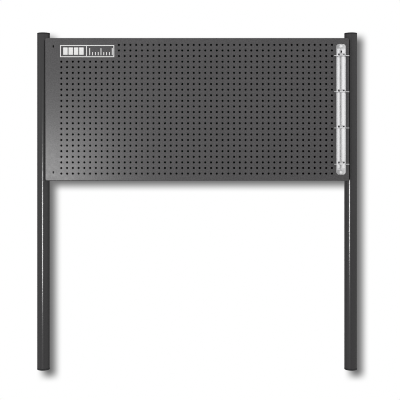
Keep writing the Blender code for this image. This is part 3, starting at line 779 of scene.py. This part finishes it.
# %% Bolts, nuts and screws
M8, M6, M4 = 0.0040, 0.0030, 0.0020
FLATS_M8, FLATS_M6 = 0.013, 0.010
HEAD_M8, PITCH_M8 = 0.0053, 0.00125
BUTTON = (0.0033, 0.0040, M6, 0.0010)   # head's height, socket's flats, shank's radius, pitch
PAN = (0.0022, 0.0022, M4, 0.0007)


def spun(node, name, profile, material, y, axis, closed=False):
    """A profile turned about a level axis through the node's middle, its zero height at y."""
    at = middle(node)
    return piece_from(name, turned(profile, HEX_N, (at[0], y, at[2]), axis, closed), material, node)


def make_bolt(corner):
    """A hex bolt that comes from inside the tray."""
    node = f"{corner}_lug_bolt"
    low, high, _ = box(node)
    seat = low[1] + HEAD_M8
    profile = bolt_profile(FLATS_M8, M8, PITCH_M8, HEAD_M8, high[1] - seat)
    return spun(node, f"{corner}_bolt", profile, zinc_skin, seat, "-Y")


def make_nut(node, name, flats, r):
    """A hex nut whose front face is at the front of its node's box."""
    low, high, _ = box(node)
    profile = nut_profile(flats, r + 0.0001, high[1] - low[1])
    return spun(node, name, profile, zinc_skin, low[1], "+Y", closed=True)


def make_screw(node, name, material, axis, kind):
    """A domed socket screw whose head is at the front (-Y) or at the back (+Y)."""
    low, high, _ = box(node)
    head, flats, r, pitch = kind
    seat = low[1] + head if axis == "-Y" else high[1] - head
    profile = socket_head((high[0] - low[0]) / 2, head, flats, r, high[1] - low[1] - head, pitch)
    return spun(node, name, profile, material, seat, axis)


CORNERS = [f"{side}_{level}" for side in SIDES for level in ("upper", "lower")]
for corner in CORNERS:
    make_bolt(corner)
    make_nut(f"{corner}_lug_nut", f"{corner}_nut", FLATS_M8, M8)
for end in ("top", "bottom"):
    screw = make_screw(f"rail_{end}_screw", f"rail_{end}_button_screw", bright_plate, "-Y", BUTTON)
    make_nut(f"rail_{end}_nut", f"rail_{end}_hex_nut", FLATS_M6, M6)
for n in range(1, 5):
    for side in SIDES:
        screw = make_screw(f"shelf_{n}_{side}_screw", f"shelf_{n}_{side}_cap_screw", black_steel, "-Y", PAN)
for level in ("top", "bottom"):
    for n in range(1, 4):
        screw = make_screw(f"cover_{level}_screw_{n}", f"cover_{level}_cap_screw_{n}", zinc_skin, "+Y", PAN)
print("fasteners", len(CORNERS) * 2 + 4 + 8 + 6)

# %% [markdown]
# ## Inserts, lugs and welds
#
# A threaded insert is squeezed into a hole in the tube's back, so that a wall bracket can be screwed to it.
# The lugs are laser-cut plates welded to the posts: a ring of points round the hole is joined to a ring
# round the outline, in front and behind. A weld is a bead with the ripples of a torch moved in small steps.

# %% Inserts, lugs and weld beads
INSERT_BORE = 0.0034
INSERT_R = 0.0055
INSERT_FLANGE_T = 0.0015
LUG_CORNER = 0.006
LUG_EDGE = 0.0004
LUG_HOLE = 0.0045
WELD_R = 0.0022
WELD_STEP = 0.0017


def make_insert(node):
    """Flange, straight body, a swaged bulge inside the tube, and a threaded bore."""
    low, high, _ = box(node)
    deep, flange = high[1] - low[1], (high[0] - low[0]) / 2
    profile = [(INSERT_BORE + 0.0002, -deep), (INSERT_R - 0.0004, -deep), (INSERT_R, -deep + 0.0005),
               (INSERT_R, -deep * 0.45), (INSERT_R - 0.0006, -deep * 0.38), (INSERT_R - 0.0006, -0.0044),
               (INSERT_R, -0.0040), (INSERT_R, -INSERT_FLANGE_T), (flange, -INSERT_FLANGE_T),
               (flange, -0.0004), (flange - 0.0004, 0.0), (INSERT_BORE + 0.0006, 0.0)]
    profile += [(r * 1.08, h) for r, h in thread(INSERT_BORE, 0.001, -0.0004, -deep + 0.0006)]
    name = node.replace("bench_insert", "wall_insert")
    return spun(node, name, profile, zinc_skin, high[1], "+Y", closed=True)


def evenly(outline, n):
    """n points at even steps along a closed outline."""
    closed = np.concatenate([outline, outline[:1]])
    run = np.concatenate([[0], np.cumsum(np.linalg.norm(np.diff(closed, axis=0), axis=1))])
    at = np.arange(n) * run[-1] / n
    return np.stack([np.interp(at, run, closed[:, k]) for k in (0, 1)], 1)


def holed_plate(outline, hole, r, y0, y1, edge):
    """Rings from the hole's front edge over the plate's face, round its edge and back to the hole."""
    turn = np.arctan2(outline[:, 1] - hole[1], outline[:, 0] - hole[0])
    circle = np.array(hole) + r * np.stack([np.cos(turn), np.sin(turn)], 1)
    ends = [stood(circle, y)[None] for y in (y0, y1)]
    rings = np.concatenate([ends[0], plate_rings(outline, y0, y1, edge), ends[1]])
    return rings_to_faces(rings, closed=True)


def make_lug(corner):
    """The two corners away from the post are rounded; the two at the post are square and welded."""
    low, high, _ = box(f"{corner}_lug")
    square = LUG_EDGE * 1.5
    radii = [square, LUG_CORNER, LUG_CORNER, square]
    if "right" in corner:
        radii = [LUG_CORNER, square, square, LUG_CORNER]
    outline = evenly(rounded_outline(low[[0, 2]], high[[0, 2]], radii, 12), 160)
    shape = holed_plate(outline, middle(f"{corner}_lug_bolt")[[0, 2]], LUG_HOLE, low[1], high[1], LUG_EDGE)
    return piece_from(f"{corner}_welded_lug", shape, post_coat, f"{corner}_lug", even=True)


def make_weld(corner):
    """A bead up the lug's back edge: its radius swells and shrinks with each step of the torch."""
    low, high, _ = box(f"{corner}_lug")
    x = low[0] + 0.0004 if "left" in corner else high[0] - 0.0004
    z = np.linspace(low[2] + 0.003, high[2] - 0.003, 120)
    r = WELD_R * (0.9 + 0.12 * np.abs(np.sin(math.pi * z / WELD_STEP)))
    r *= np.sqrt(np.clip(1 - np.linspace(-1, 1, 120) ** 8, 0.05, 1))
    a = np.arange(16) * 2 * math.pi / 16
    rings = np.stack([x + np.outer(r, np.cos(a)), high[1] - 0.0002 + np.outer(r, np.sin(a)) * 0.8,
                      np.repeat(z[:, None], 16, 1)], 2)
    return piece_from(f"{corner}_weld", rings_to_faces(rings), weld_bead)


for side in SIDES:
    for k in (1, 2):
        make_insert(f"{side}_bench_insert_{k}")
for corner in CORNERS:
    make_lug(corner)
    make_weld(corner)
print("lugs", np.round(box("left_upper_lug"), 4).tolist())

# %% [markdown]
# ## Stiffeners
#
# Two hat sections, folded from thinner sheet and spot-welded behind the face, keep the pierced sheet from
# drumming. The section is one outline with a real bend radius at each fold, drawn along the panel's height.

# %% Stiffeners
HAT_T = 0.0012
HAT_BEND = 0.0022


def bent(path, r, steps=5):
    """A line of straight runs with its inner corners rounded: each corner becomes a quadratic curve."""
    path = np.array(path, float)
    out = [path[0]]
    for before, corner, after in zip(path[:-2], path[1:-1], path[2:]):
        a = corner + (before - corner) / np.linalg.norm(before - corner) * r
        b = corner + (after - corner) / np.linalg.norm(after - corner) * r
        t = np.linspace(0, 1, steps + 1)[:, None]
        out += list((1 - t) ** 2 * a + 2 * t * (1 - t) * corner + t ** 2 * b)
    return np.array(out + [path[-1]])


def thickened(path, t):
    """The path and a copy of it moved sideways by t, as one closed outline."""
    along = np.gradient(path, axis=0)
    along /= np.linalg.norm(along, axis=1, keepdims=True)
    moved = path + np.stack([-along[:, 1], along[:, 0]], 1) * t
    return np.concatenate([path, moved[::-1]])


def make_stiffener(side):
    """The hat's front line from flange to flange, thickened backwards, then drawn up the panel."""
    low, high, (x, _, _) = box(f"{side}_stiffener")
    wide, deep = (high[0] - low[0]) / 2, high[1] - low[1] - HAT_T
    crown = wide * 14 / 30
    path = bent([(-wide, 0), (-crown - 0.003, 0), (-crown, deep), (crown, deep), (crown + 0.003, 0),
                 (wide, 0)], HAT_BEND)
    outline = thickened(path, HAT_T) + [x, low[1]]
    outline[:, 1] = np.clip(outline[:, 1], low[1], high[1])
    rings = np.array([np.column_stack([outline, np.full(len(outline), z)]) for z in (low[2], high[2])])
    # The stiffeners take the near-black undercoat too: painted shade behind the holes.
    return piece_from(f"{side}_hat_stiffener", rings_to_faces(rings), primer_painted_shade, f"{side}_stiffener")


for side in SIDES:
    make_stiffener(side)
print("stiffeners", np.round(box("left_stiffener"), 4).tolist())

# %% [markdown]
# ## Shelves
#
# Each shelf is a small steel plate with two wings at the back, a round lobe in front with a hole for a
# tool's shank, and a flange folded up at the back and screwed to the rail. The plate is cut into cells on a
# square pattern, whose width then follows the outline, and the flange is a bent strip.

# %% Shelves
SHELF_T = 0.0025
SHELF_EDGE = 0.0004
WING = 0.014
TIP = 0.003                 # depth over which a wing's tip is rounded and runs into the neck
LOBE_R = 0.015
SHELF_HOLE = 0.007
FLANGE_T = 0.002
FLANGE_HALF = 0.015


def shelf_width(depth, half, reach):
    """Half width at a depth behind the front edge line: wings, a quick narrowing, then the round lobe."""
    past = np.maximum(depth, reach - LOBE_R) - reach + LOBE_R
    lobe = np.sqrt(np.clip(LOBE_R ** 2 - past ** 2, 1e-8, None))
    wing_tip = np.clip((depth - WING + TIP) / TIP, 0, 1)
    wing = half - TIP * (1 - np.sqrt(1 - wing_tip ** 2))
    neck = smooth_step((depth - WING) / TIP)
    return np.where(depth <= WING, wing, (half - TIP) * (1 - neck) ** 2 + lobe * (1 - (1 - neck) ** 2))


def make_shelf(n):
    """The plate's cells follow the outline and get a thickness; the flange is a bent strip behind them."""
    node = f"tool_shelf_{n}"
    low, high, (x0, _, _) = box(node)
    half = (high[0] - low[0]) / 2 - SHELF_EDGE
    reach = high[1] - low[1] - SHELF_EDGE
    centre = reach - LOBE_R
    u = np.array([-1.0, -0.86, -0.62, 0.62, 0.86, 1.0])
    depth = np.concatenate([[0.0, 0.006], np.linspace(WING - TIP, WING + TIP, 5)[0:4],
                            [WING + 0.0022, centre + 0.0085],
                            reach - LOBE_R * np.array([0.24, 0.12, 0.04, 0.01, 0.0])])
    row = len(depth) - 1 - int(np.searchsorted(depth, centre))
    face = pierced_face(u, -depth[::-1], np.array([[2, row]]), np.array([[0.0, -centre]]),
                        np.full((1, 2), 2 * SHELF_HOLE), 6, fine=True)
    s, d = face[0].T
    flat = np.stack([s * shelf_width(-d, half, reach), d], 1)
    holes = np.unique(face[2])
    flat[holes] = face[0][holes]
    top = low[2] + SHELF_T
    upper = np.column_stack([flat[:, 0] + x0, flat[:, 1] + high[1], np.full(len(flat), top)])
    border = upper[face[4]]
    out = out_of(flat[face[4]])
    rims = [np.minimum(border + np.column_stack([out * s, np.full(len(out), -t)]), [9, high[1], 9])
            for s, t in broken_edge(SHELF_EDGE, SHELF_T)]
    plate = folded_sheet(face, upper, upper - [0, 0, SHELF_T], rims)
    up = high[2] - top
    path = bent([(-0.0075, -0.0014), (-0.0002 - FLANGE_T, -0.0014 + 0.0011), (-FLANGE_T, up)], 0.0016)
    strip = np.concatenate([path, [(-0.0003, up), (0.0, up - 0.0003), (0.0, -0.0022), (-0.0075, -0.0022)]])
    rings = np.array([np.column_stack([np.full(len(strip), x0 + x), strip[:, 0] + high[1], strip[:, 1] + top])
                      for x in (-FLANGE_HALF, FLANGE_HALF)])
    return piece_from(f"shelf_plate_{n}", join([plate, rings_to_faces(rings)]), bright_plate, node, 40)


for n in range(1, 5):
    make_shelf(n)
print("shelf 1 box", np.round(box("tool_shelf_1"), 4).tolist())

# %% [markdown]
# ## The printed mark
#
# A screen-printed mark is a film of white ink. This one is plain and stands for no maker: a frame with a
# dividing line, four blocks on the left and a ruler's ticks on the right. Each shape is a thin slab with
# round corners, so that it has an edge to catch light, as thick ink does.

# %% Ink
INK_T = 0.00015
INK_LINE = 0.0034
INK_ROUND = 0.0012
DIVIDER = 0.113             # from the frame's left edge
BLOCKS_FROM = 0.0135
BLOCK_PITCH = 0.0232
BLOCK_SIZE = (0.0190, 0.0315)
TICKS_FROM = 0.127
TICK_PITCH = 0.0122
TICK_HEIGHTS = (0.031, 0.014, 0.014, 0.014)
TICK_COUNT = 9


def white_ink():
    """Dense matt ink, a shade off white, a little uneven where the screen let less of it through."""
    material, tree, shader = new_material("white_ink")
    tone = spread(tree, noise(tree, 160.0, 4.0), 0.0, 1.0)
    feed(tree, shader, {"Base Color": two_tones(tree, tone, (0.90, 0.90, 0.89), (0.96, 0.96, 0.95)),
                        "Roughness": 0.55})
    return material


def slab(x0, z0, x1, z1, y):
    """A thin slab with round corners between two corners of a rectangle."""
    outline = rounded_outline((x0, z0), (x1, z1), [INK_ROUND] * 4, 5)
    return rings_to_faces(plate_rings(outline, y - INK_T, y, INK_T / 4))


def ink_frame(low, high, y):
    """Outer and inner outlines of the frame, in front and behind, joined in a closed loop."""
    outer = rounded_outline(low, high, [0.0020] * 4, 6)
    inner = rounded_outline(low + INK_LINE, high - INK_LINE, [0.0006] * 4, 6)
    rings = [(inner, y - INK_T), (outer, y - INK_T), (outer, y), (inner, y)]
    return rings_to_faces(np.array([stood(outline, depth) for outline, depth in rings]), closed=True)


def make_mark():
    """The frame, its divider, the blocks and the ticks as one piece."""
    low, high, _ = box("printed_label")
    y, corner, end = high[1], low[[0, 2]], high[[0, 2]]
    x, mid, base = corner[0], (corner[1] + end[1]) / 2, corner[1] + 2.4 * INK_LINE
    inset = 1.3 * INK_LINE
    parts = [ink_frame(corner, end, y),
             slab(x + DIVIDER, corner[1] + inset, x + DIVIDER + INK_LINE, end[1] - inset, y)]
    for k in range(4):
        at = x + BLOCKS_FROM + k * BLOCK_PITCH
        parts.append(slab(at, mid - BLOCK_SIZE[1] / 2, at + BLOCK_SIZE[0], mid + BLOCK_SIZE[1] / 2, y))
    for k in range(TICK_COUNT):
        at = x + TICKS_FROM + k * TICK_PITCH
        parts.append(slab(at, base, at + INK_LINE, base + TICK_HEIGHTS[k % len(TICK_HEIGHTS)], y))
    return piece_from("ink_mark", join(parts), white_ink(), "printed_label", 50)


make_mark()
print("mark", np.round(box("printed_label"), 4).tolist())

# %% [markdown]
# ## White backdrop and its soft shadow
#
# A catalogue picture often has a soft shadow of one even width, to the right and below. No lamp draws that,
# since a real penumbra widens with distance, so the card behind the posts carries the shadow as paint. It is
# three blurred rectangles, for the posts and the panel, each where the camera sees it on the card and then
# moved to the right and down. A blurred rectangle is one soft step less another across, times the same
# upright. The card's back is clear, so the piece can be looked at from behind too.

# %% World
WORLD_SEEN = 1.0
WORLD_LOW, WORLD_HIGH = 0.92, 1.25
HORIZON = (-0.09, 0.01)     # sine of the height at which the room turns from dim to bright


def white_room():
    """Even white for the camera; for every other ray a room that is dimmer below eye level."""
    world = bpy.data.worlds.new("white_room")
    bpy.context.scene.world = world
    world.use_nodes = True
    tree = world.node_tree
    tree.nodes.clear()
    height = add_node(tree, "SeparateXYZ", {0: add_node(tree, "TexCoord", {}, "Generated")}, "Z")
    room = spread(tree, height, WORLD_LOW, WORLD_HIGH, *HORIZON, interpolation_type="SMOOTHSTEP")
    felt, seen = (add_node(tree, "Background", {"Strength": value}) for value in (room, WORLD_SEEN))
    ray = add_node(tree, "LightPath", {}, "Is Camera Ray")
    add_node(tree, "OutputWorld", {"Surface": add_node(tree, "MixShader", {0: ray, 1: felt, 2: seen})},
             output=None)


white_room()
bpy.context.scene.view_settings.view_transform = "Standard"
print("world low", WORLD_LOW, "high", WORLD_HIGH)

# %% Backdrop
CARD_BEHIND = 0.050         # from the posts' axis
CARD_FELT = 0.40            # the card as every ray but the camera's finds it
SHADOW_SHIFT = np.array([0.025, -0.0215])
SHADOW_SOFT = 0.037         # from full shadow's edge to the middle of the blur
SHADOW_DEPTH = 0.57
SHADOW_BELOW = 0.009        # how much further the shadow reaches under the feet
GAMMA = 2.2


def on_card(x, y, z, card_y):
    """Where the camera sees a point on the card."""
    eye = np.array(camera.location)
    reach = (card_y - eye[1]) / (y - eye[1])
    return eye[[0, 2]] + (np.array([x, z]) - eye[[0, 2]]) * reach


def card_rectangles(card_y):
    """Low and high corners of the posts' and the panel's shadows on the card."""
    rectangles = []
    for side in SIDES:
        low, high, (_, y, _) = box(f"{side}_post")
        top = box(f"{side}_post_cap")[1][2]
        rectangles.append((on_card(low[0], y, -SHADOW_BELOW, card_y), on_card(high[0], y, top, card_y)))
    rectangles.append([on_card(x, PANEL_FRONT, z, card_y) for x, _, z in (PANEL_LOW, PANEL_HIGH)])
    return [(low + SHADOW_SHIFT, high + SHADOW_SHIFT) for low, high in rectangles]


def soft_box(tree, value, low, high):
    """A soft step up at low less a soft step up at high."""
    steps = [spread(tree, value, 0.0, 1.0, edge - SHADOW_SOFT, edge + SHADOW_SOFT,
                    interpolation_type="SMOOTHERSTEP") for edge in (low, high)]
    return combine(tree, "SUBTRACT", *steps)


def staged_card(name, material, corners):
    """One flat face that belongs to the set, not to the piece."""
    mesh = bpy.data.meshes.new(name)
    mesh.from_pydata(corners, [], [(0, 1, 2, 3)])
    mesh.materials.append(material)
    card = bpy.data.objects.new(name, mesh)
    bpy.context.scene.collection.objects.link(card)
    return card


def backdrop():
    """A glowing white card with the shadow taken out of its glow."""
    y = middle("left_post")[1] + CARD_BEHIND
    material, tree, shader = new_material("backdrop_card")
    place = add_node(tree, "TexCoord", {}, "Object")
    across, upright = (add_node(tree, "SeparateXYZ", {0: place}, axis) for axis in "XZ")
    lit = 1.0
    for low, high in card_rectangles(y):
        dark = combine(tree, "MULTIPLY", soft_box(tree, across, low[0], high[0]),
                       soft_box(tree, upright, low[1], high[1]))
        lit = combine(tree, "MULTIPLY", lit, combine(tree, "SUBTRACT", 1.0, dark))
    shade = combine(tree, "MULTIPLY", combine(tree, "SUBTRACT", 1.0, lit), SHADOW_DEPTH)
    glow = combine(tree, "POWER", combine(tree, "SUBTRACT", 1.0, shade), GAMMA)
    seen = add_node(tree, "LightPath", {}, "Is Camera Ray")
    felt = combine(tree, "MULTIPLY", combine(tree, "SUBTRACT", 1.0, seen), CARD_FELT)
    strength = combine(tree, "ADD", combine(tree, "MULTIPLY", glow, seen), felt)
    front = add_node(tree, "Emission", {"Strength": strength})
    back = add_node(tree, "BsdfTransparent", {})
    behind = add_node(tree, "NewGeometry", {}, "Backfacing")
    feed(tree, tree.nodes["Material Output"],
         {"Surface": add_node(tree, "MixShader", {0: behind, 1: front, 2: back})})
    tree.nodes.remove(shader)
    return staged_card("backdrop", material, [(-3, y, -2), (3, y, -2), (3, y, 4), (-3, y, 4)])


card = backdrop()
print("card at", round(card.data.vertices[0].co.y, 4))

# %% [markdown]
# ## Lamps and a flag
#
# Tall lamps at the lower left explain the bright marks. The round posts show them as thin streaks that stop
# where the lamp ends, so the left post's lamp reaches lower than the right one's. The satin panel spreads
# its lamp into a glow at its lower left corner. Light linking gives each piece its own lamp. A grey flag
# beside the camera puts a grey line down the mirror of the rail.

# %% Lamps and flag
LAMP_AIM = (-0.4, 0.0, 0.7)
LAMPS = {
    "left_tube": ((-1.16, -3.10, 0.32), (0.10, 0.92), 43.0),
    "right_tube": ((-1.22, -3.10, 0.525), (0.10, 0.77), 51.0),
    "pierced_panel": ((-1.23, -3.10, 0.74), (0.36, 0.36), 19.0),
}

FLAG_X = (1.00, 1.14)
FLAG_BEFORE = 3.0           # from the panel's face


def area_lamp(piece, at, size, energy):
    """A rectangular lamp at a place, unseen by the camera, that lights one piece only."""
    name = piece + "_lamp"
    data = bpy.data.lights.new(name, "AREA")
    data.shape = "RECTANGLE"
    data.size, data.size_y = size
    data.energy = energy
    lamp = bpy.data.objects.new(name, data)
    bpy.context.scene.collection.objects.link(lamp)
    lamp.location = at
    lamp.rotation_euler = (Vector(LAMP_AIM) - Vector(at)).to_track_quat("-Z", "Y").to_euler()
    lamp.visible_camera = False
    group = bpy.data.collections.new(name + "_lit")
    group.objects.link(bpy.data.objects[piece])
    lamp.light_linking.receiver_collection = group
    return lamp


def grey_flag(x0, x1, y):
    """An upright grey strip in front, seen only in what mirrors it."""
    material, tree, shader = new_material("grey_cloth")
    tone = spread(tree, noise(tree, 40.0), 0.0, 1.0)
    feed(tree, shader, {"Base Color": two_tones(tree, tone, (0.26,) * 3, (0.30,) * 3), "Roughness": 1.0})
    flag = staged_card("flag", material, [(x0, y, -1.0), (x1, y, -1.0), (x1, y, 3.0), (x0, y, 3.0)])
    flag.visible_camera = False


for piece, (at, size, energy) in LAMPS.items():
    area_lamp(piece, at, size, energy)
grey_flag(*FLAG_X, PANEL_FRONT - FLAG_BEFORE)
